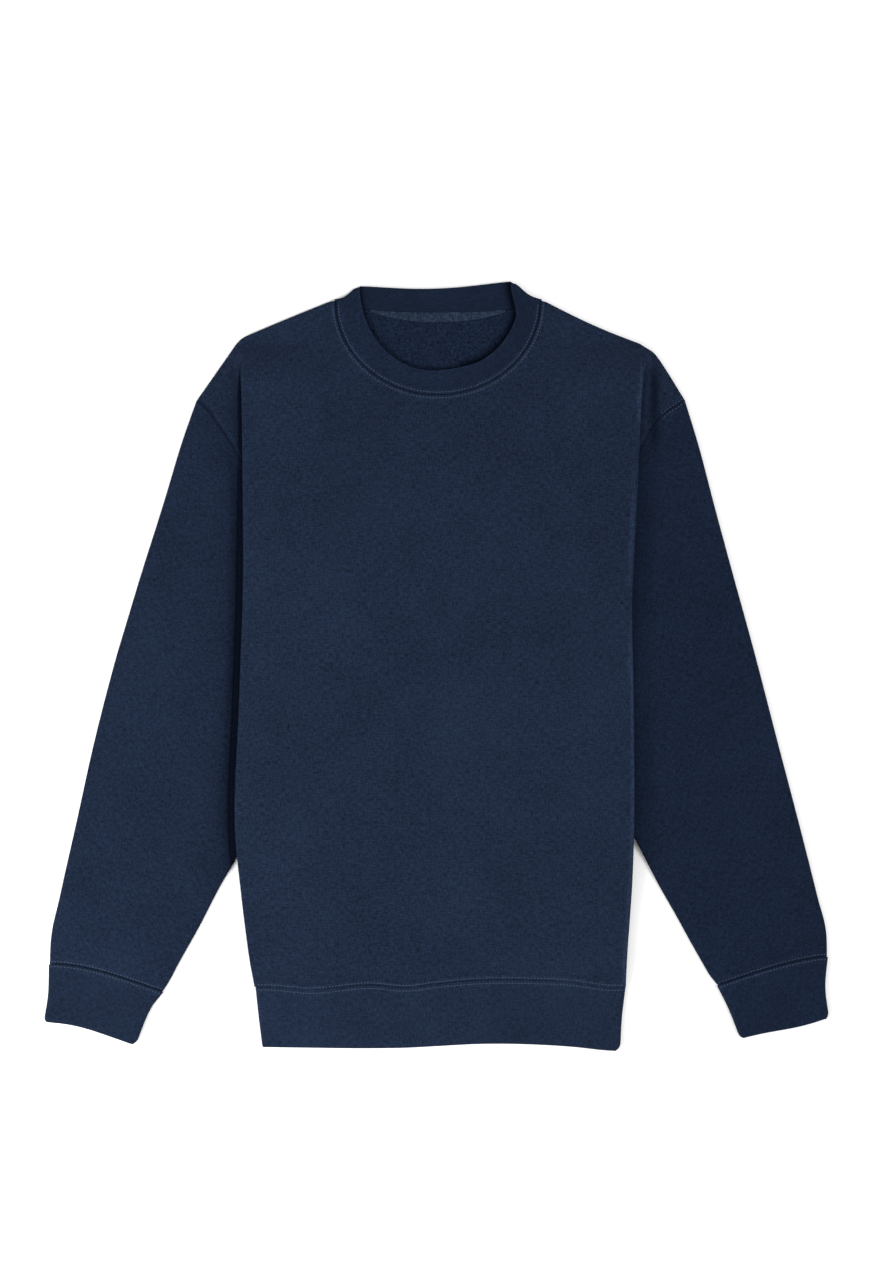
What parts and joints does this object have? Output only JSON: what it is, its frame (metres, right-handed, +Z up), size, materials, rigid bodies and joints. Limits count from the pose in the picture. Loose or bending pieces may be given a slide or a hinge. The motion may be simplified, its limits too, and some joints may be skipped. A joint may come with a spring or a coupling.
{
  "type": "crewneck sweatshirt",
  "caption": "Navy fleece crewneck sweatshirt lying flat on its back, with the sleeves brought down beside the body, ribbed collar, cuffs and hem.",
  "frame": {"origin": "centre of the footprint, on the surface that the sweatshirt lies on", "axes": "+X to the sleeve on the viewer's right, +Y from hem to neck, +Z up from the surface through back then front"},
  "size_m": [0.7312, 0.7206, 0.0193],
  "materials": {
    "fleece": "matt navy sweatshirt fleece, smooth face outside",
    "rib": "matt navy 1x1 rib knit",
    "tape": "matt navy herringbone tape"
  },
  "bodies": {
    "root": {"front_panel": "fleece", "back_panel": "fleece", "sleeve_left": "fleece", "sleeve_right": "fleece", "cuff_left": "rib", "cuff_right": "rib", "hem_rib": "rib", "neck_rib": "rib", "neck_tape": "tape"}
  },
  "joints": []
}
